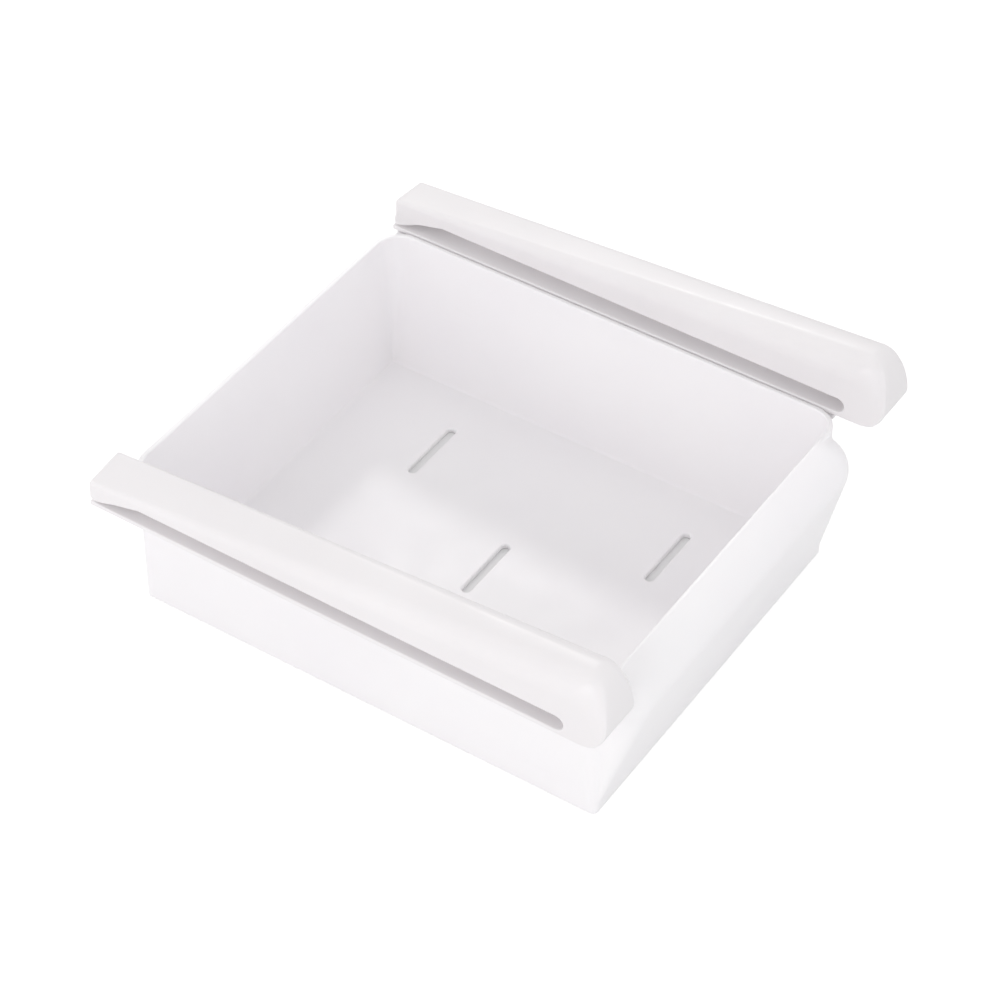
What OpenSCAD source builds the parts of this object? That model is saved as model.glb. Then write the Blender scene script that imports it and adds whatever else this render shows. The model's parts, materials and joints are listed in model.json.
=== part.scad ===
// Pull-out bin for a fridge shelf: an open tray that runs on two clip rails.
// Each rail grips the front edge of a shelf in its long slot, and the tray's
// side runners slide in the rail's channel underneath.
// +X is the drawer's front, +Y is its right-hand side, +Z is up.
// The origin is under the middle of the overall length, on the table.

/* [Tray] */
// Length of the tray's foot, rear to front
tray_l = 152.6; // [120:0.2:200]
// Width of the tray's foot, side to side
tray_w = 123; // [90:0.5:180]
// Height of the rim above the table
tray_h = 51; // [42:0.5:80]
// Thickness of the walls
wall = 1.6; // [1.2:0.1:2.6]
// Thickness of the floor
floor_t = 1.8; // [1.2:0.1:3]
// How far each side wall leans out at the rim
side_lean = 3.1; // [0.5:0.1:4]
// How far the rear wall leans out at the rim
rear_lean = 0.9; // [0.3:0.1:2.5]
// How far the flat of the front wall leans out at the rim
front_lean = 2.2; // [0.5:0.1:3]
// Corner radius of the tray at the foot
foot_r = 1.5; // [1:0.5:6]
// Corner radius of the tray at the rim
rim_r = 9; // [3:0.5:12]

/* [Front pull] */
// Radius of the roll along the top of the front panel
roll_r = 10; // [6:0.5:14]
// How far the roll's centre stands in front of the foot
roll_out = 0.5; // [0:0.1:3]
// How far the roll's round ends stay inside the side walls
roll_inset = 0.7; // [0:0.1:4]
// Height of the upright strip below the leaning panel
foot_h = 3; // [1:0.5:8]

/* [Floor slots] */
// Length of a floor slot
drain_l = 23; // [10:1:40]
// Width of a floor slot
drain_w = 2.8; // [1.5:0.1:5]
// Distance of the four outer slots from the middle, along the tray
drain_dx = 41.5; // [25:0.5:60]
// Distance of the four outer slots from the middle, across the tray
drain_dy = 33; // [20:0.5:45]

/* [Clip rails] */
// Width of a rail at its rear end
rail_w = 15; // [12:0.1:22]
// How much wider the rail is at its front end
rail_flare = 1; // [0:0.1:2.5]
// How far the rail's nose reaches past the tray's foot
nose_reach = 13.5; // [10:0.5:24]
// Length of the nose's rounded part
nose_l = 7.8; // [5:0.1:12]
// Thickness of the finger above the shelf, at the nose
crown_t = 15.7; // [10:0.1:24]
// Radius of the crown's long edges at the nose
crown_r = 7.4; // [3:0.1:7.4]
// Thickness of the finger above the shelf, at its free end
tip_t = 3.8; // [3:0.1:6]
// How much thinner the free end is at its outer edge
tip_fall = 1.4; // [0:0.1:2.2]
// Gap for the fridge shelf
shelf_gap = 4.8; // [4.2:0.1:8]
// Gap that the bead at the finger's free end leaves when no shelf is in
bead_gap = 2.1; // [2:0.1:3]
// Radius of that bead
bead_r = 3; // [2:0.1:3]
// Thickness of the plate under the shelf
plate_t = 1.5; // [1.2:0.1:2.5]
// Thickness of the channel's web and lip
channel_t = 1.5; // [1.2:0.1:2.5]

/* [Runners] */
// Width of the tray's runner, from the wall to its edge
runner_w = 7.5; // [5:0.1:10]
// Thickness of the runner
runner_t = 2; // [1.5:0.1:3]
// How far the runner ends behind the tray's front wall
runner_back = 8; // [6:0.5:30]
// How far the stop at the runner's rear end stands out
stop_out = 1.2; // [0.8:0.1:1.6]
// How far the tray pulls out
travel = 110; // [40:1:115]

/* [Clearances] */
// Running gap around the runner in its channel
run_gap = 0.3; // [0.2:0.05:0.5]
// Gap between the tray's rim and the rail's plate
side_gap = 0.4; // [0.3:0.05:1]
// How far the rim stays below the shelf
rim_gap = 0.4; // [0.2:0.05:1]

/* [Hidden] */
$fn = 48;
plastic = [0.95, 0.95, 0.96];
skin = 0.01;           // thickness of the slices that a hull joins
past = 1;              // how far a cut runs past the face that it opens
min_r = 0.5;           // least radius of an inner corner

// tray, in its own frame with the middle of the foot at the origin
rear_x = -tray_l / 2;
front_x = tray_l / 2;
roll_x = front_x + roll_out;
roll_z = tray_h - roll_r;
roll_y = tray_w / 2 - roll_r - roll_inset;

// rail, on the +Y side of the tray's frame
plate_z = tray_h + rim_gap;                    // the shelf lies at this height
plate_y = tray_w / 2 + side_lean + side_gap;   // inner edge of the plate
rail_rear = rear_x - (rear_lean - run_gap);
nose_front = front_x + nose_reach;
nose_x = nose_front - nose_l;                  // where the nose starts to round off
finger_y = plate_y + 1.3;                      // inner face of the finger at its free end
front_w = rail_w + rail_flare;
slot_top = plate_z + shelf_gap;
nose_z = slot_top + 0.4;                       // height of the nose's foremost line
nose_power = 2;                                // 2 rounds the nose as an ellipse
nose_blunt = 0.05;                             // share of its height left at its foremost line
nose_tuck = 0.4;                               // how far the nose narrows on each side
edge_r = 1.6;                                  // edge rounding at the free end
end_r = 2;                                     // rounding of the free end, seen from the side
slot_end = nose_x - 4.4;                       // the shelf's front edge stops here
ramp_l = 17;                                   // the slot narrows over this length to the bead

// runner and channel
runner_top = plate_z - plate_t - run_gap;
runner_rear = rail_rear + channel_t + run_gap;
runner_front = front_x - runner_back;
wall_y = tray_w / 2 + side_lean * (runner_top - runner_t) / tray_h;
runner_y = wall_y + runner_w;                  // outer edge of the plain runner
stop_l = 4;                                    // length of a stop along the rail
web_y = runner_y + stop_out + run_gap;         // inner face of the channel's web
lip_z = runner_top - runner_t - run_gap;       // top of the channel's lip
lip_y = plate_y + 2.1;                         // inner edge of the lip
channel_front = slot_end - 4;
block_x = runner_rear + stop_l + travel + run_gap;

// the bounding box is centred on the origin
tray_x = (rear_lean - nose_reach) / 2;

// points of an arc, ends included
function arc(c, r, from, to, steps) =
    [for (i = [0:steps]) let (a = from + (to - from) * i / steps) c + r * [cos(a), sin(a)]];

// a rail's cross-section in Y and Z: flat below and inside, rounded over the top
function section(inner, outer, top_in, top_out, r_in, r_out) =
    concat([[inner, plate_z - plate_t], [outer, plate_z - plate_t]],
        arc([outer - r_out, top_out - r_out], r_out, 0, 90, 6),
        arc([inner + r_in, top_in - r_in], r_in, 90, 180, 6));

// the free end's section, drawn in by the given amount
function tip_section(in) =
    section(finger_y + in, plate_y + rail_w - in, slot_top + tip_t - in,
        slot_top + tip_t - tip_fall - in, edge_r, edge_r);

// the nose's section: k is its height and t its width, both 1 where the nose starts
function nose_section(k, t) =
    let (mid = plate_y + front_w / 2)
    [for (p = section(plate_y, plate_y + front_w, slot_top + crown_t, slot_top + crown_t,
            crown_r, crown_r))
        [mid + (p[0] - mid) * t, nose_z + (p[1] - nose_z) * k]];

// how much of the nose's height is left at a share s of its length
function rounding(s) = pow(1 - pow(s, nose_power), 1 / nose_power);

// a thin slice across the rail at x
module slice(x, points) {
    translate([x, 0, 0]) rotate([90, 0, 90]) linear_extrude(skin) polygon(points);
}

// plan of the tray at height z, drawn in by inset: the walls and corners open out upwards
module plan(z, inset) {
    k = z / tray_h;
    y = tray_w / 2 + side_lean * k - inset;
    round_square([rear_x - rear_lean * k + inset, -y], [front_x + front_lean * k - inset, y],
        max(foot_r + (rim_r - foot_r) * k - inset, min_r));
}

// a rectangle with round corners, from corner a to corner b
module round_square(a, b, r) {
    translate([a[0] + r, a[1]]) square([b[0] - a[0] - 2 * r, b[1] - a[1]]);
    translate([a[0], a[1] + r]) square([b[0] - a[0], b[1] - a[1] - 2 * r]);
    for (x = [a[0] + r, b[0] - r], y = [a[1] + r, b[1] - r])
        translate([x, y]) circle(r, $fn = 32);
}

// a box whose walls lean out; it goes on above the rim, where it is cut off later
module leaning_box(inset, bottom) {
    hull() {
        for (z = [bottom, 2 * tray_h]) translate([0, 0, z]) linear_extrude(skin) plan(z, inset);
    }
}

// the front panel: it leans out from the foot and rolls back in at the top
module front_roll(inset) {
    bar_y = tray_w / 2 - foot_r - inset;
    hull() {
        for (y = [-roll_y, roll_y])
            translate([roll_x, y, roll_z]) sphere(roll_r - inset, $fn = 48);
        translate([front_x - wall - inset, -bar_y, foot_h])
            cube([wall, 2 * bar_y, skin]);
    }
}

// a floor slot with round ends, along Y
module drain() {
    straight = drain_l - drain_w;
    translate([0, 0, -past]) linear_extrude(floor_t + 2 * past) {
        square([drain_w, straight], center = true);
        for (y = [-straight / 2, straight / 2]) translate([0, y]) circle(drain_w / 2);
    }
}

// the runner on one side wall, with the stop at its rear end
module runner() {
    root = wall_y - rim_r;     // reaches in past the tray's round corners
    translate([0, 0, runner_top - runner_t]) linear_extrude(runner_t) {
        translate([runner_rear, root]) square([runner_front - runner_rear, runner_y - root]);
        translate([runner_rear, root]) square([stop_l, runner_y + stop_out - root]);
    }
}

// everything above the rim
module above_rim() {
    translate([-tray_l, -tray_w, tray_h]) cube([2 * tray_l, 2 * tray_w, 2 * tray_h]);
}

module tray() {
    color(plastic) translate([tray_x, 0, 0]) difference() {
        union() {
            leaning_box(0, 0);
            front_roll(0);
            runner();
            mirror([0, 1, 0]) runner();
        }
        above_rim();
        leaning_box(wall, floor_t);
        front_roll(wall);
        drain();
        for (x = [-drain_dx, drain_dx], y = [-drain_dy, drain_dy]) translate([x, y]) drain();
    }
}

// the wedge of the rail with its rounded nose, before the shelf's slot is cut
module wedge() {
    hull() {
        for (a = [0:30:90])
            slice(rail_rear + end_r * (1 - sin(a)), tip_section(end_r * (1 - cos(a)) / 2));
        for (a = [0:15:90])
            let (k = max(rounding(sin(a)), nose_blunt))
            slice(nose_x + (nose_l - skin) * sin(a),
                nose_section(k, 1 - (1 - k) * 2 * nose_tuck / front_w));
    }
}

// the plate that the shelf rests on
module plate() {
    translate([0, 0, plate_z - plate_t]) linear_extrude(plate_t) polygon([
        [rail_rear, plate_y], [nose_x, plate_y],
        [nose_x, plate_y + front_w], [rail_rear, plate_y + rail_w]]);
}

// the shelf's slot, drawn from the side: open at both sides and round at its front end;
// the bead at the finger's free end narrows it, and springs up over the shelf
module shelf_slot() {
    front_r = shelf_gap / 2;
    rear = rail_rear - past;
    bead = [rail_rear + bead_r, bead_gap + bead_r];
    foot = bead + bead_r * [0.8, -0.6];
    translate([0, plate_y + 2 * rail_w, plate_z]) rotate([90, 0, 0]) linear_extrude(3 * rail_w)
        difference() {
            union() {
                polygon([[rear, 0], [slot_end - front_r, 0], [slot_end - front_r, shelf_gap],
                    [rail_rear + ramp_l, shelf_gap], foot, bead, [rear, bead[1]]]);
                translate([slot_end - front_r, front_r]) circle(front_r);
            }
            translate(bead) circle(bead_r);
        }
}

// the channel under the plate, with its rear wall and the stop near its front end
module channel() {
    bottom = lip_z - channel_t;
    height = plate_z - plate_t - bottom;
    length = channel_front - rail_rear;
    translate([rail_rear, web_y, bottom]) cube([length, channel_t, height]);
    translate([rail_rear, lip_y, bottom])
        cube([length, web_y + channel_t - lip_y, channel_t]);
    translate([rail_rear, lip_y, bottom])
        cube([channel_t, web_y + channel_t - lip_y, height]);
    translate([block_x, web_y - stop_out, bottom]) cube([stop_l, stop_out, height]);
}

module clip_rail() {
    difference() {
        union() {
            wedge();
            plate();
        }
        shelf_slot();
    }
    channel();
}

module right_clip_rail() {
    color(plastic) translate([tray_x, 0, 0]) clip_rail();
}

module left_clip_rail() {
    color(plastic) translate([tray_x, 0, 0]) mirror([0, 1, 0]) clip_rail();
}

tray();
left_clip_rail();
right_clip_rail();
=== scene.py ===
import json
from math import acos, asin, atan2, cos, hypot, pi, radians, sin

import bmesh
import bpy
import numpy as np
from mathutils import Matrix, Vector


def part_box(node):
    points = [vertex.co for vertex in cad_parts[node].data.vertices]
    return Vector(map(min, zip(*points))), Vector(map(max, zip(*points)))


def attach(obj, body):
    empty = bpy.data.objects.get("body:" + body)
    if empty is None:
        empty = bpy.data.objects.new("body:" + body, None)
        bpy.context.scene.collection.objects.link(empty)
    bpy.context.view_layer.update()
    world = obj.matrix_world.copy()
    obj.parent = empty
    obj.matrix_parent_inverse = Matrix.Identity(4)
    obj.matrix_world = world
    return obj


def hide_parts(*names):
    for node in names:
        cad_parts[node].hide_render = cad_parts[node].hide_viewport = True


# A pull-out bin for a fridge shelf: a white tray that hangs on two clip rails.
# Lengths in the shape dictionaries are millimetres, everywhere else metres.
mm = 0.001

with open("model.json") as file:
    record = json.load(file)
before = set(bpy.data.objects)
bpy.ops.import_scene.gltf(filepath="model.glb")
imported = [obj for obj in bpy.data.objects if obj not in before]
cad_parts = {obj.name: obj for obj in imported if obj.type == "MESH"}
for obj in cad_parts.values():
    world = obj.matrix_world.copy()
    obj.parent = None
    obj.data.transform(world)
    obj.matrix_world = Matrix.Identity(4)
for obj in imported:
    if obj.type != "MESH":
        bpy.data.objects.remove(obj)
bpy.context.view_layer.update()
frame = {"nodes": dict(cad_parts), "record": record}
scene = bpy.context.scene
print("frame loaded:", ", ".join(sorted(frame["nodes"])))


# small helpers
def addObject(name, data):
    thing = bpy.data.objects.new(name, data)
    scene.collection.objects.link(thing)
    return thing


def meshFrom(name, points, faces):
    mesh = bpy.data.meshes.new(name)
    mesh.from_pydata([tuple(p) for p in points], [], faces)
    mesh.update()
    return mesh


def tidyNormals(mesh, mergeAt=0.00001):
    bm = bmesh.new()
    bm.from_mesh(mesh)
    bmesh.ops.remove_doubles(bm, verts=bm.verts, dist=mergeAt)
    bmesh.ops.recalc_face_normals(bm, faces=bm.faces)
    bm.to_mesh(mesh)
    bm.free()


def shadeSmooth(mesh, sharpAbove):
    bm = bmesh.new()
    bm.from_mesh(mesh)
    for face in bm.faces:
        face.smooth = True
    for edge in bm.edges:
        folded = len(edge.link_faces) == 2 and edge.calc_face_angle() > radians(sharpAbove)
        edge.smooth = not folded
    bm.to_mesh(mesh)
    bm.free()


def evaluatedCopy(source, name):
    graph = bpy.context.evaluated_depsgraph_get()
    mesh = bpy.data.meshes.new_from_object(source.evaluated_get(graph))
    mesh.name = name
    return mesh


def link(tree, fromNode, fromSocket, toNode, toSocket):
    tree.links.new(fromNode.outputs[fromSocket], toNode.inputs[toSocket])


def setInput(modifier, label, value):
    for item in modifier.node_group.interface.items_tree:
        if item.item_type == "SOCKET" and item.in_out == "INPUT" and item.name == label:
            modifier[item.identifier] = value
            return
    raise KeyError(label)


def setAttribute(mesh, label, kind, values):
    # kind is FLOAT or FLOAT_VECTOR
    layer = mesh.attributes.new(label, kind, "POINT")
    field = "value" if kind == "FLOAT" else "vector"
    layer.data.foreach_set(field, np.asarray(values, np.float32).ravel())


# one white moulded plastic for all, with its own look for the tray and the rails below
mouldedPlastic = {
    "patchLow": 0.3, "patchHigh": 0.7,            # span of the noises used for tone and gloss
    "scuffStretch": 0.16, "scuffFrom": 0.66, "scuffTo": 0.78, "scuffDulls": 0.5,
    "grainDepth": 0.00005, "waveDepth": 0.0004,   # metres
    "refraction": 1.49, "seepColour": (1, 0.95, 0.93),
}


def whitePlastic(name, look):
    m = mouldedPlastic
    material = bpy.data.materials.new(name)
    material.use_nodes = True
    tree = material.node_tree
    shader = tree.nodes["Principled BSDF"]
    place = tree.nodes.new("ShaderNodeTexCoord")

    def noise(scale, detail, rough):
        node = tree.nodes.new("ShaderNodeTexNoise")
        node.inputs["Scale"].default_value = scale
        node.inputs["Detail"].default_value = detail
        node.inputs["Roughness"].default_value = rough
        link(tree, place, "Object", node, "Vector")
        return node

    def spread(node, low, high, toLow, toHigh):
        ranged = tree.nodes.new("ShaderNodeMapRange")
        ends = {"From Min": low, "From Max": high, "To Min": toLow, "To Max": toHigh}
        for label, value in ends.items():
            ranged.inputs[label].default_value = value
        link(tree, node, "Fac", ranged, "Value")
        return ranged

    # slow shifts of tone, as where the resin cooled unevenly
    clouds = noise(look["cloudScale"], 3, 0.55)
    tone = spread(clouds, m["patchLow"], m["patchHigh"], 0, 1)
    tint = tree.nodes.new("ShaderNodeMix")
    tint.data_type = "RGBA"
    tint.inputs["A"].default_value = (*look["shade"], 1)
    tint.inputs["B"].default_value = (*look["light"], 1)
    link(tree, tone, "Result", tint, "Factor")
    # rare faint scuffs from handling, drawn out along the rails
    stretch = tree.nodes.new("ShaderNodeMapping")
    stretch.inputs["Scale"].default_value = (m["scuffStretch"], 1, 1)
    link(tree, place, "Object", stretch, "Vector")
    scuffs = noise(look["scuffScale"], 6, 0.7)
    link(tree, stretch, "Vector", scuffs, "Vector")
    worn = spread(scuffs, m["scuffFrom"], m["scuffTo"], 0, look["scuffs"])
    scuffed = tree.nodes.new("ShaderNodeMix")
    scuffed.data_type = "RGBA"
    scuffed.inputs["B"].default_value = (*look["scuffTone"], 1)
    link(tree, worn, "Result", scuffed, "Factor")
    link(tree, tint, "Result", scuffed, "A")
    link(tree, scuffed, "Result", shader, "Base Color")

    # satin gloss that varies a little, duller where scuffed
    gloss = noise(look["glossScale"], 4, 0.6)
    sheen = spread(gloss, m["patchLow"], m["patchHigh"], look["glossLow"], look["glossHigh"])
    dull = tree.nodes.new("ShaderNodeMath")
    dull.operation = "MULTIPLY_ADD"
    dull.inputs[1].default_value = m["scuffDulls"]
    link(tree, worn, "Result", dull, 0)
    link(tree, sheen, "Result", dull, 2)
    link(tree, dull, "Value", shader, "Roughness")

    # the mould's fine grain over a slight waviness of the walls
    grain = noise(look["grainScale"], 2, 0.5)
    waves = noise(look["waveScale"], 1, 0.5)
    fine = tree.nodes.new("ShaderNodeBump")
    fine.inputs["Strength"].default_value = look["grainStrength"]
    fine.inputs["Distance"].default_value = m["grainDepth"]
    link(tree, grain, "Fac", fine, "Height")
    soft = tree.nodes.new("ShaderNodeBump")
    soft.inputs["Strength"].default_value = look["waveStrength"]
    soft.inputs["Distance"].default_value = m["waveDepth"]
    link(tree, waves, "Fac", soft, "Height")
    link(tree, fine, "Normal", soft, "Normal")
    link(tree, soft, "Normal", shader, "Normal")
    shader.inputs["IOR"].default_value = m["refraction"]
    # light seeps a little way into white plastic
    shader.inputs["Subsurface Weight"].default_value = look["seep"]
    shader.inputs["Subsurface Radius"].default_value = m["seepColour"]
    shader.inputs["Subsurface Scale"].default_value = look["seepDepth"]
    shader.inputs["Specular IOR Level"].default_value = look["specular"]
    return material


trayLook = {
    "shade": (0.925, 0.905, 0.925), "light": (0.955, 0.94, 0.95), "cloudScale": 16,
    "scuffScale": 90, "scuffs": 0.3, "scuffTone": (0.84, 0.82, 0.82),
    "glossScale": 45, "glossLow": 0.34, "glossHigh": 0.46, "specular": 0.45,
    "seep": 0.15, "seepDepth": 0.002,
    "grainScale": 2600, "grainStrength": 0.2, "waveScale": 30, "waveStrength": 0.25,
}
railLook = {
    "shade": (0.825, 0.802, 0.812), "light": (0.86, 0.838, 0.848), "cloudScale": 20,
    "scuffScale": 110, "scuffs": 0.3, "scuffTone": (0.76, 0.74, 0.72),
    "glossScale": 60, "glossLow": 0.3, "glossHigh": 0.42, "specular": 0.45,
    "seep": 0.15, "seepDepth": 0.0015,
    "grainScale": 2600, "grainStrength": 0.2, "waveScale": 40, "waveStrength": 0.3,
}
trayPlastic = whitePlastic("tray white", trayLook)
railPlastic = whitePlastic("rail white", railLook)
print("plastics made")


# the tray: a leaning box whose front rolls over into a pull
trayShape = {
    "footLength": 152.6, "footWidth": 123.0, "height": 51.0,
    "wall": 1.6, "floor": 1.8,
    "sideLean": 3.1, "rearLean": 0.9, "frontLean": 2.2,
    "footCorner": 1.5, "rimCorner": 9.0, "leastCorner": 0.5,
    "roll": 10.0, "rollOut": 0.5, "rollInset": 0.7, "footStrip": 3.0,
    "blend": 0.8, "blendFull": 4.0,   # soft join of the pull and the walls, full from this radius
    "rimRound": 0.5, "footRound": 0.6, "floorFillet": 0.7,
    "edgeLand": 0.4,                  # left beside the foot's rounding and the floor's fillet
    # the mesh: its lines start on a rectangle and run outwards
    "rayX": 65.0, "rayY": 49.0, "rayReach": 60.0, "rayHalvings": 34,
    "cornerRays": 56, "straightSteps": 14,
    "panelSteps": 20, "panelEnd": 0.27, "rollFrom": -12, "rollStep": 3.0, "leastStep": 0.02,
}
halfLength = trayShape["footLength"] / 2
halfWidth = trayShape["footWidth"] / 2
# the foot's middle lies this far from the frame's origin
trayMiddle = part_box("tray")[0].x / mm + halfLength + trayShape["rearLean"]


def boxDistance(x, y, z, inset):
    # how far a point lies outside the leaning box with its round corners, at one height
    t = trayShape
    k = z / t["height"]
    rear = -halfLength - t["rearLean"] * k + inset
    front = halfLength + t["frontLean"] * k - inset
    side = halfWidth + t["sideLean"] * k - inset
    corner = t["footCorner"] + (t["rimCorner"] - t["footCorner"]) * k - inset
    corner = max(corner, t["leastCorner"])
    qx = np.abs(x - (rear + front) / 2) - ((front - rear) / 2 - corner)
    qy = np.abs(y) - (side - corner)
    outside = np.hypot(np.maximum(qx, 0), np.maximum(qy, 0))
    return outside + np.minimum(np.maximum(qx, qy), 0) - corner


def pullSlice(z, inset):
    # middle, half span and radius of the rolled front panel at one height
    t = trayShape
    r = t["roll"] - inset
    rollX, rollZ = halfLength + t["rollOut"], t["height"] - t["roll"]
    rollY = halfWidth - t["roll"] - t["rollInset"]
    startX, startY = halfLength - inset, halfWidth - t["footCorner"] - inset
    dx, dz = rollX - startX, rollZ - t["footStrip"]
    lean = atan2(dx, dz) + asin(r / hypot(dx, dz))
    tangent = rollZ - r * sin(lean)
    if z >= tangent:
        return rollX, rollY, max(r * r - (z - rollZ) ** 2, 0) ** 0.5
    k = (z - t["footStrip"]) / (tangent - t["footStrip"])
    return startX + dx * k, startY + (rollY - startY) * k, r * cos(lean) * k


def trayDistance(x, y, z, wallInset, edgeInset):
    # how far a point lies outside box and pull, softly joined
    t = trayShape
    box = boxDistance(x, y, z, wallInset) + edgeInset
    if z <= t["footStrip"]:
        return box
    middle, span, r = pullSlice(z, wallInset)
    if r <= 0:
        return box
    pull = np.hypot(x - middle, y - np.clip(y, -span, span)) - r + edgeInset
    k = t["blend"] * min(r / t["blendFull"], 1)
    h = np.clip(0.5 + (box - pull) / (2 * k), 0, 1)
    return box * (1 - h) + pull * h - k * h * (1 - h)


def trayRays():
    # where each vertical line of the mesh starts, and which way it looks outwards
    t, rays = trayShape, []
    ox, oy = t["rayX"], t["rayY"]
    corners, steps = t["cornerRays"], t["straightSteps"]
    for quarter, (sx, sy) in enumerate(((1, 1), (-1, 1), (-1, -1), (1, -1))):
        for i in range(corners):
            a = pi / 2 * (quarter + i / (corners - 1))
            rays.append((sx * ox, sy * oy, cos(a), sin(a)))
        nx, ny = ((-1, 1), (-1, -1), (1, -1), (1, 1))[quarter]
        a = pi / 2 * (quarter + 1)
        for i in range(1, steps):
            k = i / steps
            x, y = ox * (sx + (nx - sx) * k), oy * (sy + (ny - sy) * k)
            rays.append((x, y, cos(a), sin(a)))
    return np.array(rays)


def trayRing(rays, z, wallInset, edgeInset=0.0):
    # the tray's outline at one height: halves the reach of each line until it meets the skin
    t = trayShape
    near, far = np.zeros(len(rays)), np.full(len(rays), t["rayReach"])
    for step in range(t["rayHalvings"]):
        r = (near + far) / 2
        x, y = rays[:, 0] + rays[:, 2] * r, rays[:, 1] + rays[:, 3] * r
        inside = trayDistance(x, y, z, wallInset, edgeInset) < 0
        near, far = np.where(inside, r, near), np.where(inside, far, r)
    r = (near + far) / 2
    x, y = rays[:, 0] + rays[:, 2] * r, rays[:, 1] + rays[:, 3] * r
    return np.stack([x, y, np.full(len(r), z)], 1)


def wallHeights(low, high, inset):
    # even steps up the leaning panel, then steps by angle over the roll
    t = trayShape
    rollZ, r = t["height"] - t["roll"], t["roll"] - inset
    heights = list(np.linspace(low, rollZ - r * t["panelEnd"], t["panelSteps"]))
    angles = np.radians(np.arange(t["rollFrom"], 90.1, t["rollStep"]))
    heights += [rollZ + r * sin(a) for a in angles]
    return [z for z in heights if low <= z <= high - t["leastStep"]] + [high]


def makeTray():
    t = trayShape
    rays = trayRays()
    top, wall = t["height"], t["wall"]
    foot, rim, fillet, land = t["footRound"], t["rimRound"], t["floorFillet"], t["edgeLand"]
    quarterTurn = np.radians([0, 18, 36, 54, 72, 90])
    rings = [trayRing(rays, 0, 0, foot + land)]
    for a in quarterTurn:                                     # the foot's rounding
        rings.append(trayRing(rays, foot * (1 - cos(a)), 0, foot * (1 - sin(a))))
    for z in wallHeights(foot + land, top - rim, 0):          # up the walls, outside
        rings.append(trayRing(rays, z, 0))
    for a in quarterTurn[1:]:                                 # rim, outside
        rings.append(trayRing(rays, top - rim * (1 - sin(a)), 0, rim * (1 - cos(a))))
    for a in quarterTurn[::-1][:-1]:                          # rim, inside
        rings.append(trayRing(rays, top - rim * (1 - sin(a)), wall, -rim * (1 - cos(a))))
    floorTop = t["floor"] + fillet
    for z in wallHeights(floorTop, top - rim, wall)[::-1]:    # down the walls, inside
        rings.append(trayRing(rays, z, wall))
    for a in quarterTurn[1:]:                                 # fillet round the floor
        rings.append(trayRing(rays, floorTop - fillet * sin(a), wall, fillet * (1 - cos(a))))
    rings.append(trayRing(rays, t["floor"], wall, fillet + land))

    n = len(rays)
    points = np.concatenate(rings)
    points[:, 0] += trayMiddle
    faces = []
    for i in range(len(rings) - 1):
        for j in range(n):
            k = (j + 1) % n
            faces.append((i * n + j, i * n + k, (i + 1) * n + k, (i + 1) * n + j))
    faces.append(tuple(range(n))[::-1])
    last = (len(rings) - 1) * n
    faces.append(tuple(last + j for j in range(n)))
    mesh = meshFrom("tray body", points * mm, faces)
    tidyNormals(mesh)
    return addObject("trayBody", mesh)


runnerShape = {
    "width": 7.5, "thickness": 2.0, "top": 49.6,
    "rear": -75.1, "front": 68.3,          # from the foot's middle
    "stopLength": 4.0, "stopOut": 1.2, "stopBevel": 0.5, "edge": 0.3, "cornerRound": 1.2,
}


def makeRunner(side):
    r, t = runnerShape, trayShape
    under = r["top"] - r["thickness"]
    outer = halfWidth + t["sideLean"] * under / t["height"] + r["width"]
    stop, bevel = outer + r["stopOut"], r["stopBevel"]
    rear, stopEnd = r["rear"], r["rear"] + r["stopLength"]
    plan = [(rear, stop - bevel), (rear + bevel, stop), (stopEnd - bevel, stop),
            (stopEnd, stop - bevel), (stopEnd, outer)]
    for a in np.radians(np.linspace(90, 0, 6)):
        x = r["front"] - r["cornerRound"] * (1 - cos(a))
        plan.append((x, outer - r["cornerRound"] * (1 - sin(a))))
    # the inner edge runs inside the wall and round its rear corner, so nothing shows in the tray
    k = (r["top"] - r["thickness"] / 2) / t["height"]
    corner = t["footCorner"] + (t["rimCorner"] - t["footCorner"]) * k
    cornerX = -halfLength - t["rearLean"] * k + corner
    cornerY = halfWidth + t["sideLean"] * k - corner
    middle = corner - t["wall"] / 2
    plan.append((r["front"], cornerY + middle))
    for a in np.linspace(pi / 2, acos((rear - cornerX) / middle), 12):
        plan.append((cornerX + middle * cos(a), cornerY + middle * sin(a)))
    bm = bmesh.new()
    bottom = [bm.verts.new(((x + trayMiddle) * mm, side * y * mm, under * mm)) for x, y in plan]
    face = bm.faces.new(bottom)
    raised = bmesh.ops.extrude_face_region(bm, geom=[face])
    lifted = [v for v in raised["geom"] if isinstance(v, bmesh.types.BMVert)]
    bmesh.ops.translate(bm, verts=lifted, vec=(0, 0, r["thickness"] * mm))
    bmesh.ops.recalc_face_normals(bm, faces=bm.faces)
    level = [e for e in bm.edges if abs(e.verts[0].co.z - e.verts[1].co.z) < 1e-7]
    bmesh.ops.bevel(bm, geom=level, offset=r["edge"] * mm, segments=3, profile=0.5, affect="EDGES")
    bmesh.ops.recalc_face_normals(bm, faces=bm.faces)
    mesh = bpy.data.meshes.new("runner")
    bm.to_mesh(mesh)
    bm.free()
    return addObject("runner", mesh)


slotShape = {
    "length": 23.0, "width": 2.8, "along": 83.0, "across": 66.0,
    "edge": 0.35, "easeHeight": 0.12, "easeShare": 0.45,   # eased edges, with one ring between
    "overshoot": 2.0,
}


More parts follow.
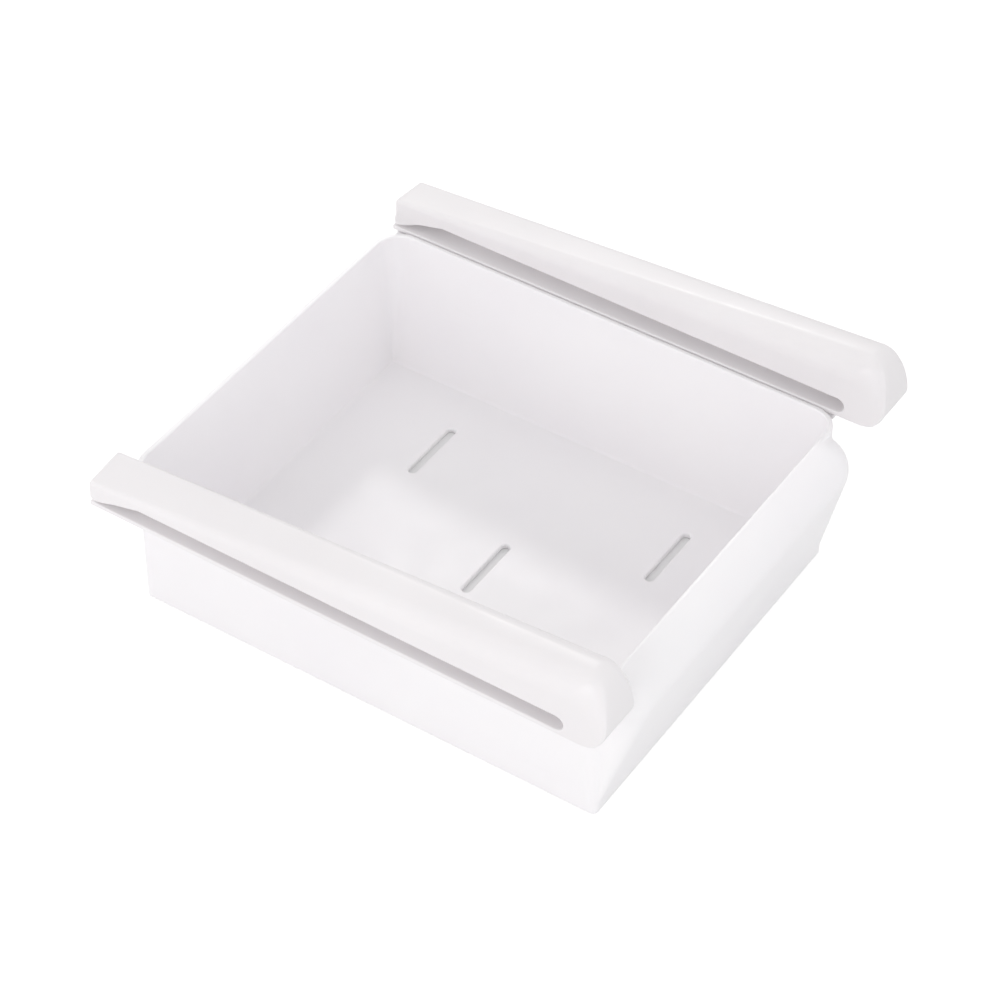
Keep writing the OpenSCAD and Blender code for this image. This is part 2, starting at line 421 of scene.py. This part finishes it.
def slotCutter():
    # one floor slot with eased edges above and below, as a plug longer than the floor is thick
    s, f = slotShape, trayShape["floor"]
    r, straight, e = s["width"] / 2, s["length"] / 2 - s["width"] / 2, s["edge"]
    ringAt, ringOut, over = s["easeHeight"], e * s["easeShare"], s["overshoot"]
    # each height, and how much wider than the slot the plug is there
    levels = [(-over, e), (0, e), (ringAt, ringOut), (e, 0),
              (f - e, 0), (f - ringAt, ringOut), (f, e), (f + over, e)]
    half = np.linspace(-90, 90, 17)
    outline = [(90 + a, 1) for a in half] + [(270 + a, -1) for a in half]
    points, faces = [], []
    n = len(outline)
    for z, extra in levels:
        for a, end in outline:
            reach = r + extra
            x, y = reach * cos(radians(a)), end * straight + reach * sin(radians(a))
            points.append((x, y, z))
    for i in range(len(levels) - 1):
        for j in range(n):
            k = (j + 1) % n
            faces.append((i * n + j, i * n + k, (i + 1) * n + k, (i + 1) * n + j))
    last = (len(levels) - 1) * n
    faces += [tuple(range(n))[::-1], tuple(last + j for j in range(n))]
    mesh = meshFrom("slot cutter", np.array(points) * mm, faces)
    tidyNormals(mesh)
    return addObject("slotCutter", mesh)


def floorSlotTree():
    tree = bpy.data.node_groups.new("floor slots", "GeometryNodeTree")
    face = tree.interface
    face.new_socket("Geometry", in_out="INPUT", socket_type="NodeSocketGeometry")
    for label in ("Spacing Along", "Spacing Across", "Middle"):
        face.new_socket(label, in_out="INPUT", socket_type="NodeSocketFloat").subtype = "DISTANCE"
    face.new_socket("Slot", in_out="INPUT", socket_type="NodeSocketObject")
    face.new_socket("Plastic", in_out="INPUT", socket_type="NodeSocketMaterial")
    face.new_socket("Geometry", in_out="OUTPUT", socket_type="NodeSocketGeometry")
    start = tree.nodes.new("NodeGroupInput")
    end = tree.nodes.new("NodeGroupOutput")
    four = tree.nodes.new("GeometryNodeMeshGrid")             # the four outer slots
    four.inputs["Vertices X"].default_value = 2
    four.inputs["Vertices Y"].default_value = 2
    link(tree, start, "Spacing Along", four, "Size X")
    link(tree, start, "Spacing Across", four, "Size Y")
    one = tree.nodes.new("GeometryNodeMeshLine")              # the middle one
    one.inputs["Count"].default_value = 1
    spots = tree.nodes.new("GeometryNodeJoinGeometry")
    link(tree, four, "Mesh", spots, "Geometry")
    link(tree, one, "Mesh", spots, "Geometry")
    shift = tree.nodes.new("ShaderNodeCombineXYZ")
    link(tree, start, "Middle", shift, "X")
    moved = tree.nodes.new("GeometryNodeSetPosition")
    link(tree, spots, "Geometry", moved, "Geometry")
    link(tree, shift, "Vector", moved, "Offset")
    plug = tree.nodes.new("GeometryNodeObjectInfo")
    link(tree, start, "Slot", plug, "Object")
    copies = tree.nodes.new("GeometryNodeInstanceOnPoints")
    link(tree, moved, "Geometry", copies, "Points")
    link(tree, plug, "Geometry", copies, "Instance")
    real = tree.nodes.new("GeometryNodeRealizeInstances")
    link(tree, copies, "Instances", real, "Geometry")
    cut = tree.nodes.new("GeometryNodeMeshBoolean")
    cut.operation = "DIFFERENCE"
    cut.solver = "MANIFOLD"
    link(tree, start, "Geometry", cut, "Mesh 1")
    link(tree, real, "Geometry", cut, "Mesh 2")
    whole = tree.nodes.new("GeometryNodeRealizeInstances")
    link(tree, cut, "Mesh", whole, "Geometry")
    finish = tree.nodes.new("GeometryNodeSetMaterial")
    link(tree, whole, "Geometry", finish, "Geometry")
    link(tree, start, "Plastic", finish, "Material")
    link(tree, finish, "Geometry", end, "Geometry")
    return tree


def joinSolids(base, others):
    for other in others:
        union = base.modifiers.new("union", "BOOLEAN")
        union.operation = "UNION"
        union.solver = "MANIFOLD"
        union.object = other


trayBody = makeTray()
runners = [makeRunner(1), makeRunner(-1)]
joinSolids(trayBody, runners)
cutter = slotCutter()
slots = trayBody.modifiers.new("floor slots", "NODES")
slots.node_group = floorSlotTree()
setInput(slots, "Spacing Along", slotShape["along"] * mm)
setInput(slots, "Spacing Across", slotShape["across"] * mm)
setInput(slots, "Middle", trayMiddle * mm)
setInput(slots, "Slot", cutter)
setInput(slots, "Plastic", trayPlastic)
tray = addObject("tray_bin", evaluatedCopy(trayBody, "tray_bin"))
for helper in [trayBody, cutter] + runners:
    bpy.data.objects.remove(helper)
shadeSmooth(tray.data, sharpAbove=30)
print("tray made:", len(tray.data.polygons), "faces")


# the clip rails: a wedge with a crowned top and a rounded nose, slotted for the shelf
railShape = {
    "inner": 64.85, "innerTip": 66.3, "rearWidth": 15.0, "frontWidth": 16.0,
    "plateTop": 51.4, "plate": 1.5, "gap": 4.8,
    "rear": -76.9, "tip": 3.8, "tipFall": 1.4, "tipEdge": 1.3, "tipShare": 0.6,
    "tipRound": 1.2, "tipTopRound": 1.4,
    "crown": 15.7, "crownEdge": 7.4, "crownPower": 1.1, "crownStart": 2.2, "crownSteps": 26,
    "noseStart": 82.0, "noseLength": 7.8, "noseHeight": 56.8, "nosePower": 2.15, "underPower": 0.9,
    # the crease is the line where the rounded top meets the flat side
    "creaseX": 78.0, "creaseReach": 9.8, "creaseZ": 50.0, "creaseTurn": 0.9,
    "slotEnd": 77.6, "ramp": 17.0, "beadGap": 0.8, "beadLean": 0.3,
    # the finger's underside towards its free end: x, and height over the bead's lowest point
    "bead": ((-63.5, 3.0), (-66.5, 2.3), (-69, 1.6), (-71, 0.9),
             (-72.8, 0.35), (-74.2, 0.08), (-75.2, 0)),
    "edge": 0.35, "lipEdge": 0.5, "frontEdge": 1.1, "tuck": 0.25, "leastFlat": 0.05,
    "drawFrom": 0.6, "drawOver": 2.0,   # height over the plate where the finger starts to draw in
    # the mesh: rows over each edge, and where its straight runs stop short of the ends
    "rows": 10, "underFront": 76.0, "rearRun": 4.0, "slotRun": 3.0, "runSteps": 12,
}


def railGuides():
    # stations round the rail's side view: for each, the point on the middle of the surface,
    # the point on the crease and how wide the rounding between them is
    r = railShape
    rear, shelf = r["rear"], r["plateTop"]
    top, below = shelf + r["gap"], shelf - r["plate"]
    stations = []                       # (mid x, mid z, crease x, crease z, rounding width, fall)

    def add(mx, mz, cx, cz, width, fall=0.0):
        stations.append((mx, mz, cx, cz, width, fall))

    slope = (r["crown"] - r["tip"]) / (r["noseStart"] - rear)
    # the crown, from the free end to the nose
    for k in np.linspace(0, 1, r["crownSteps"]):
        x = rear + r["crownStart"] + (r["noseStart"] - rear - r["crownStart"]) * k
        z = top + r["tip"] + slope * (x - rear)
        width = r["tipEdge"] + (r["crownEdge"] - r["tipEdge"]) * k
        back = (r["noseStart"] - r["creaseX"]) * k
        add(x, z, x - back, z - width - slope * back, width, r["tipFall"] * (1 - k))
    # the nose
    rise = top + r["crown"] - r["noseHeight"]
    creaseRise = top + r["crown"] - r["crownEdge"] - r["creaseZ"]
    for a in np.radians(np.arange(5, 90.1, 5)):
        s = sin(a)
        k = max(1 - s ** r["nosePower"], 0) ** (1 / r["nosePower"])
        b = a * r["creaseTurn"]
        share = (a / (pi / 2)) ** r["crownPower"]
        width = r["crownEdge"] + (r["frontEdge"] - r["crownEdge"]) * share
        add(r["noseStart"] + r["noseLength"] * s, r["noseHeight"] + rise * k,
            r["creaseX"] + r["creaseReach"] * sin(b), r["creaseZ"] + creaseRise * cos(b), width)
    # the nose's lower front, drawn in to the plate's underside
    drop = r["noseHeight"] - below
    endX = r["creaseX"] + r["creaseReach"] * sin(pi / 2 * r["creaseTurn"])
    endZ = r["creaseZ"] + creaseRise * cos(pi / 2 * r["creaseTurn"])
    for a in np.radians(np.arange(10, 90.1, 10)):
        k = a / (pi / 2)
        reach = cos(a) ** r["underPower"] if cos(a) > 1e-6 else 0
        mx = r["noseStart"] + r["noseLength"] * reach
        mz = r["noseHeight"] - drop * sin(a)
        cx = r["noseStart"] + (endX - r["noseStart"]) * reach
        cz = endZ - (endZ - below - r["edge"]) * sin(a)
        add(mx, mz, cx, cz, r["frontEdge"] + (r["edge"] - r["frontEdge"]) * k)
    e = r["edge"]
    # under the plate to the rear, up its rear edge, and forward under the shelf
    for x in np.linspace(r["underFront"], rear + r["rearRun"], r["runSteps"]):
        add(x, below, x, below + e, e)
    quarterTurn = np.radians(np.linspace(0, 90, 4))
    for a in quarterTurn:
        add(rear + e * (1 - sin(a)), below + e * (1 - cos(a)), rear + e, below + e, e)
    for a in quarterTurn:
        add(rear + e * (1 - cos(a)), shelf - e * (1 - sin(a)), rear + e, shelf - e, e)
    frontR = r["gap"] / 2
    slotFront = r["slotEnd"] - frontR
    for x in np.linspace(rear + r["rearRun"], slotFront - r["slotRun"], r["runSteps"]):
        add(x, shelf, x, shelf - e, e)
    # round the slot's front; the finger's lower edges are rounder than the plate's
    lip = r["lipEdge"]
    for a in np.radians(np.linspace(-90, 90, 13)):
        cx, cz = slotFront, shelf + frontR
        w = e + (lip - e) * (0.5 + a / pi)
        add(cx + frontR * cos(a), cz + frontR * sin(a),
            cx + (frontR + w) * cos(a), cz + (frontR + w) * sin(a), w)
    for x in np.linspace(slotFront - r["slotRun"], rear + r["ramp"], r["runSteps"] - 1):
        add(x, top, x, top + lip, lip)
    # the finger's underside comes down to the bead at its free end
    low = shelf + r["beadGap"]
    for i, (x, rise) in enumerate(r["bead"]):
        w = lip - (lip - e) * (i + 1) / len(r["bead"])
        add(x, low + rise, x + w * r["beadLean"], low + rise + w, w)
    # its rear face, with a small rounding below and a larger one above
    foot, cap = r["tipRound"], r["tipTopRound"]
    for a in np.radians(np.linspace(20, 90, 5)):
        add(rear + foot * (1 - sin(a)), low + foot * (1 - cos(a)), rear + foot, low + foot, e)
    tipTop = top + r["tip"] + slope * r["crownStart"]
    for k in (0.25, 0.5, 0.75, 1):
        z = low + foot + (tipTop - cap - low - foot) * k
        width = e + (r["tipEdge"] - e) * k * r["tipShare"]
        add(rear, z, rear + foot, z, width, r["tipFall"] * k)
    for a in np.radians(np.linspace(12, 78, 6)):
        k = a / (pi / 2)
        width = e + (r["tipEdge"] - e) * (r["tipShare"] + (1 - r["tipShare"]) * k)
        add(rear + cap * (1 - cos(a)), tipTop - cap * (1 - sin(a)),
            rear + foot + k, tipTop - cap, width, r["tipFall"])
    return np.array(stations)


def guideMesh(name, side):
    # one vertex a station, carrying the four points across the rail as attributes
    r = railShape
    stations = railGuides()
    mx, mz, cx, cz, width, fall = stations.T

    def share(x):
        return np.clip((x - r["rear"]) / (r["noseStart"] - r["rear"]), 0, 1)

    # only the finger draws in towards its free end; the plate's inner edge is straight
    finger = np.clip((mz - r["plateTop"] - r["drawFrom"]) / r["drawOver"], 0, 1)
    nearY = r["inner"] + (r["innerTip"] - r["inner"]) * (1 - share(mx)) * finger
    farY = r["inner"] + r["rearWidth"] + (r["frontWidth"] - r["rearWidth"]) * share(mx)
    tuck = r["tuck"] * np.clip((mx - r["noseStart"]) / r["noseLength"], 0, 1) ** 2
    nearY, farY = nearY + tuck, farY - tuck
    width = np.minimum(width, (farY - nearY) / 2 - r["leastFlat"])
    rows = {
        "nearFace": (cx, nearY, cz), "nearTop": (mx, nearY + width, mz),
        "farTop": (mx, farY - width, mz - fall), "farFace": (cx, farY, cz - fall),
    }
    mesh = bpy.data.meshes.new(name)
    mesh.vertices.add(len(stations))
    for label, (x, y, z) in rows.items():
        points = np.stack([(x + trayMiddle) * mm, side * y * mm, z * mm], 1)
        setAttribute(mesh, label, "FLOAT_VECTOR", points)
    return mesh


def acrossMesh(rows):
    # how each row lies between the side face and the top: sine and cosine of a quarter turn
    closeRow = 1.5              # close beside the flat side, so that its shading stays flat
    turn = [0, closeRow] + [90 * i / rows for i in range(1, rows + 1)]
    blend = [(0, a) for a in turn] + [(1, a) for a in turn[::-1]]
    mesh = bpy.data.meshes.new("across")
    mesh.vertices.add(len(blend))
    lift = [(sin(radians(a)), 1 - cos(radians(a)), sin(radians(a))) for half, a in blend]
    setAttribute(mesh, "lift", "FLOAT_VECTOR", lift)
    setAttribute(mesh, "half", "FLOAT", [half for half, a in blend])
    return mesh


def railSkinTree():
    tree = bpy.data.node_groups.new("rail skin", "GeometryNodeTree")
    face = tree.interface
    face.new_socket("Geometry", in_out="INPUT", socket_type="NodeSocketGeometry")
    face.new_socket("Across", in_out="INPUT", socket_type="NodeSocketObject")
    face.new_socket("Stations", in_out="INPUT", socket_type="NodeSocketInt")
    face.new_socket("Rows", in_out="INPUT", socket_type="NodeSocketInt")
    face.new_socket("Plastic", in_out="INPUT", socket_type="NodeSocketMaterial")
    face.new_socket("Geometry", in_out="OUTPUT", socket_type="NodeSocketGeometry")
    start = tree.nodes.new("NodeGroupInput")
    end = tree.nodes.new("NodeGroupOutput")
    sheet = tree.nodes.new("GeometryNodeMeshGrid")
    link(tree, start, "Stations", sheet, "Vertices X")
    link(tree, start, "Rows", sheet, "Vertices Y")
    number = tree.nodes.new("GeometryNodeInputIndex")
    across = tree.nodes.new("GeometryNodeObjectInfo")
    link(tree, start, "Across", across, "Object")

    def whole(operation):
        node = tree.nodes.new("ShaderNodeMath")
        node.operation = operation
        return node

    # which station and which row a point of the sheet belongs to
    divide = whole("DIVIDE")
    link(tree, number, "Index", divide, 0)
    link(tree, start, "Rows", divide, 1)
    station = whole("FLOOR")
    link(tree, divide, "Value", station, 0)
    row = whole("MODULO")
    link(tree, number, "Index", row, 0)
    link(tree, start, "Rows", row, 1)

    def sample(source, socket, label, kind, index):
        named = tree.nodes.new("GeometryNodeInputNamedAttribute")
        named.data_type = kind
        named.inputs["Name"].default_value = label
        node = tree.nodes.new("GeometryNodeSampleIndex")
        node.data_type = kind
        node.domain = "POINT"
        link(tree, source, socket, node, "Geometry")
        link(tree, named, "Attribute", node, "Value")
        link(tree, index, "Value", node, "Index")
        return node

    lift = sample(across, "Geometry", "lift", "FLOAT_VECTOR", row)
    half = sample(across, "Geometry", "half", "FLOAT", row)

    def sweep(faceLabel, topLabel):
        low = sample(start, "Geometry", faceLabel, "FLOAT_VECTOR", station)
        high = sample(start, "Geometry", topLabel, "FLOAT_VECTOR", station)
        reach = tree.nodes.new("ShaderNodeVectorMath")
        reach.operation = "SUBTRACT"
        link(tree, high, "Value", reach, 0)
        link(tree, low, "Value", reach, 1)
        bend = tree.nodes.new("ShaderNodeVectorMath")
        bend.operation = "MULTIPLY_ADD"
        link(tree, reach, "Vector", bend, 0)
        link(tree, lift, "Value", bend, 1)
        link(tree, low, "Value", bend, 2)
        return bend

    near, far = sweep("nearFace", "nearTop"), sweep("farFace", "farTop")
    # by number, because a Mix node has sockets of one name for each kind of data
    pick = tree.nodes.new("ShaderNodeMix")
    pick.data_type = "VECTOR"
    tree.links.new(half.outputs["Value"], pick.inputs[0])
    tree.links.new(near.outputs["Vector"], pick.inputs[4])
    tree.links.new(far.outputs["Vector"], pick.inputs[5])
    place = tree.nodes.new("GeometryNodeSetPosition")
    link(tree, sheet, "Mesh", place, "Geometry")
    tree.links.new(pick.outputs[1], place.inputs["Position"])
    real = tree.nodes.new("GeometryNodeRealizeInstances")
    link(tree, place, "Geometry", real, "Geometry")
    finish = tree.nodes.new("GeometryNodeSetMaterial")
    link(tree, real, "Geometry", finish, "Geometry")
    link(tree, start, "Plastic", finish, "Material")
    link(tree, finish, "Geometry", end, "Geometry")
    return tree


def closeRail(mesh):
    # joins the skin's first and last station and fills the two flat side faces
    bm = bmesh.new()
    bm.from_mesh(mesh)
    count = len(railGuides())
    rows = len(bm.verts) // count
    bm.verts.ensure_lookup_table()
    last, mergeAt = (count - 1) * rows, 0.000002
    for i in range(rows - 1):
        bm.faces.new([bm.verts[k] for k in (last + i, last + i + 1, i + 1, i)])
    bmesh.ops.remove_doubles(bm, verts=bm.verts, dist=mergeAt)
    bmesh.ops.dissolve_degenerate(bm, edges=bm.edges, dist=mergeAt)
    bmesh.ops.edgeloop_fill(bm, edges=[e for e in bm.edges if e.is_boundary])
    bmesh.ops.recalc_face_normals(bm, faces=bm.faces)
    bm.to_mesh(mesh)
    bm.free()


channelShape = {
    "rear": -76.9, "front": 73.6, "webInner": 73.39, "thickness": 1.5,
    "lipInner": 67.1, "lipTop": 47.3, "edge": 0.3,
    "blockRear": 39.2, "blockLength": 4.0, "blockOut": 1.2,
    # how far its parts run into the plate and each other, so that they fuse
    "plateSink": 0.6, "webSink": 0.7, "lipSink": 0.5, "rearSink": 0.02,
}


def makeChannel(side):
    # the J-shaped channel under the plate, with its rear wall and its stop
    c = channelShape
    top = railShape["plateTop"] - c["plateSink"]
    bottom = c["lipTop"] - c["thickness"]
    web, lip = c["webInner"], c["lipInner"]
    outer, stop = web + c["thickness"], web - c["blockOut"]
    within, above = web + c["webSink"], bottom + c["lipSink"]
    # the J, the rear wall and the stop: outline across the rail, then its two ends along it
    solids = [
        ([(web, top), (outer, top), (outer, bottom), (lip, bottom),
          (lip, c["lipTop"]), (web, c["lipTop"])],
         c["rear"], c["front"]),
        ([(lip, top), (within, top), (within, above), (lip, above)],
         c["rear"] + c["rearSink"], c["rear"] + c["thickness"]),
        ([(stop, top), (within, top), (within, above), (stop, above)],
         c["blockRear"], c["blockRear"] + c["blockLength"]),
    ]
    made = []
    for outline, x0, x1 in solids:
        bm = bmesh.new()
        ring = [bm.verts.new(((x0 + trayMiddle) * mm, side * y * mm, z * mm)) for y, z in outline]
        first = bm.faces.new(ring)
        moved = bmesh.ops.extrude_face_region(bm, geom=[first])
        lifted = [v for v in moved["geom"] if isinstance(v, bmesh.types.BMVert)]
        bmesh.ops.translate(bm, verts=lifted, vec=((x1 - x0) * mm, 0, 0))
        bmesh.ops.recalc_face_normals(bm, faces=bm.faces)
        bmesh.ops.bevel(bm, geom=list(bm.edges), offset=c["edge"] * mm, segments=2,
                        profile=0.5, affect="EDGES")
        bmesh.ops.recalc_face_normals(bm, faces=bm.faces)
        mesh = bpy.data.meshes.new("channel part")
        bm.to_mesh(mesh)
        bm.free()
        made.append(addObject("channelPart", mesh))
    return made


def makeRail(name, side, tree, across):
    skin = addObject(name + "Skin", guideMesh(name + " guide", side))
    nodes = skin.modifiers.new("rail skin", "NODES")
    nodes.node_group = tree
    setInput(nodes, "Across", across)
    setInput(nodes, "Stations", len(railGuides()))
    setInput(nodes, "Rows", len(across.data.vertices))
    setInput(nodes, "Plastic", railPlastic)
    body = addObject(name + "Body", evaluatedCopy(skin, name + " body"))
    closeRail(body.data)
    parts = makeChannel(side)
    joinSolids(body, parts)
    rail = addObject(name, evaluatedCopy(body, name))
    for helper in [skin, body] + parts:
        bpy.data.objects.remove(helper)
    shadeSmooth(rail.data, sharpAbove=32)
    return rail


acrossGuide = addObject("acrossGuide", acrossMesh(railShape["rows"]))
skinTree = railSkinTree()
rightRail = makeRail("right_rail", 1, skinTree, acrossGuide)
leftRail = makeRail("left_rail", -1, skinTree, acrossGuide)
bpy.data.objects.remove(acrossGuide)
print("rails made:", len(rightRail.data.polygons), "faces each")

for piece, plastic in ((tray, trayPlastic), (rightRail, railPlastic), (leftRail, railPlastic)):
    piece.data.materials.clear()
    piece.data.materials.append(plastic)
    for polygon in piece.data.polygons:
        polygon.material_index = 0

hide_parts("tray")
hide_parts("right_clip_rail")
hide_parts("left_clip_rail")
bodies = frame["record"]["behaviour"]["bodies"]
for piece, node, slot in ((tray, "tray", "tray_plastic"),
                          (rightRail, "right_clip_rail", "rail_plastic"),
                          (leftRail, "left_clip_rail", "rail_plastic")):
    body = next(name for name, members in bodies.items() if node in members)
    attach(piece, body)


# floor, light and camera, set to match the photo
studio = {
    "lens": 118.7, "sensor": 36,   # millimetres, as cameras have them
    "cameraPlace": (0.37296, -0.56428, 0.67154), "cameraTarget": (-0.0052, 0.0057, 0.025),
    "floorTone": 0.86, "floorRoughness": 0.9, "floorShine": 0.1, "floorReach": 3,
    # the glow fades in round an oval under the tray, so the tray's floor slots stay grey
    "floorGlow": 0.32, "unlit": (0.070, 0.058), "unlitFade": 1.05,
    "world": 0.76,
    "lampTarget": (0, 0, 0.02),
    "lamps": {
        # name: place, size, energy, tint
        "rearLight": ((-0.42, 0.64, 0.70), 0.12, 1.2, (1, 0.985, 0.97)),
        "nearLight": ((0.18, -0.62, 0.19), 0.4, 0.15, (1, 0.99, 1)),
        "fillLight": ((0.1, -0.9, 0.5), 0.6, 1.85, (1, 0.99, 1)),
        "sideLight": ((-0.9, -0.5, 0.4), 0.8, 1.1, (1, 0.98, 0.99)),
        "frontLight": ((1.3, 0.1, 0.5), 1.0, 2.3, (0.95, 0.97, 1)),
        "topLight": ((0.0, 0.0, 1.5), 1.6, 0.5, (1, 0.99, 0.98)),
    },
}

floorMaterial = bpy.data.materials.new("white floor")
floorMaterial.use_nodes = True
floorTree = floorMaterial.node_tree
floorShader = floorTree.nodes["Principled BSDF"]
floorShader.inputs["Base Color"].default_value = (studio["floorTone"],) * 3 + (1,)
floorShader.inputs["Roughness"].default_value = studio["floorRoughness"]
floorShader.inputs["Specular IOR Level"].default_value = studio["floorShine"]
floorShader.inputs["Emission Color"].default_value = (1, 1, 1, 1)
# a little glow for the camera alone keeps the ground white without more light on the tray
rays = floorTree.nodes.new("ShaderNodeLightPath")
glow = floorTree.nodes.new("ShaderNodeMath")
glow.operation = "MULTIPLY"
link(floorTree, rays, "Is Camera Ray", glow, 0)
spot = floorTree.nodes.new("ShaderNodeTexCoord")
oval = floorTree.nodes.new("ShaderNodeVectorMath")
oval.operation = "MULTIPLY_ADD"
unlitX, unlitY = studio["unlit"]
oval.inputs[1].default_value = (1 / unlitX, 1 / unlitY, 0)
oval.inputs[2].default_value = (-trayMiddle * mm / unlitX, 0, 0)
link(floorTree, spot, "Object", oval, 0)
distance = floorTree.nodes.new("ShaderNodeVectorMath")
distance.operation = "LENGTH"
link(floorTree, oval, "Vector", distance, "Vector")
around = floorTree.nodes.new("ShaderNodeMapRange")
around.inputs["From Min"].default_value = 1
around.inputs["From Max"].default_value = studio["unlitFade"]
around.inputs["To Max"].default_value = studio["floorGlow"]
link(floorTree, distance, "Value", around, "Value")
link(floorTree, around, "Result", glow, 1)
link(floorTree, glow, "Value", floorShader, "Emission Strength")
reach = studio["floorReach"]
floorCorners = [(-reach, -reach, 0), (reach, -reach, 0), (reach, reach, 0), (-reach, reach, 0)]
floor = addObject("studioFloor", meshFrom("studio floor", floorCorners, [(0, 1, 2, 3)]))
floor.data.materials.append(floorMaterial)

world = bpy.data.worlds.new("studio")
scene.world = world
world.use_nodes = True
worldTree = world.node_tree
background = worldTree.nodes["Background"]
# white to the camera and in reflections, a little darker as light on the piece
seen = worldTree.nodes.new("ShaderNodeLightPath")
anySeen = worldTree.nodes.new("ShaderNodeMath")
anySeen.operation = "MAXIMUM"
link(worldTree, seen, "Is Camera Ray", anySeen, 0)
link(worldTree, seen, "Is Glossy Ray", anySeen, 1)
level = worldTree.nodes.new("ShaderNodeMapRange")
level.inputs["To Min"].default_value = studio["world"]
level.inputs["To Max"].default_value = 1
link(worldTree, anySeen, "Value", level, "Value")
link(worldTree, level, "Result", background, "Strength")
background.inputs["Color"].default_value = (1, 1, 1, 1)


def areaLight(name, place, size, energy, tint):
    lamp = bpy.data.lights.new(name, "AREA")
    lamp.shape = "DISK"
    lamp.size = size
    lamp.energy = energy
    lamp.color = tint
    thing = addObject(name, lamp)
    thing.location = place
    facing = Vector(studio["lampTarget"]) - Vector(place)
    thing.rotation_euler = facing.to_track_quat("-Z", "Y").to_euler()


for name, (place, size, energy, tint) in studio["lamps"].items():
    areaLight(name, place, size, energy, tint)

cameraData = bpy.data.cameras.new("photo camera")
cameraData.sensor_width = studio["sensor"]
cameraData.lens = studio["lens"]
camera = addObject("photoCamera", cameraData)
camera.location = Vector(studio["cameraPlace"])
cameraFacing = Vector(studio["cameraTarget"]) - camera.location
camera.rotation_euler = cameraFacing.to_track_quat("-Z", "Y").to_euler()
scene.camera = camera
scene.view_settings.view_transform = "Standard"
print("studio set")
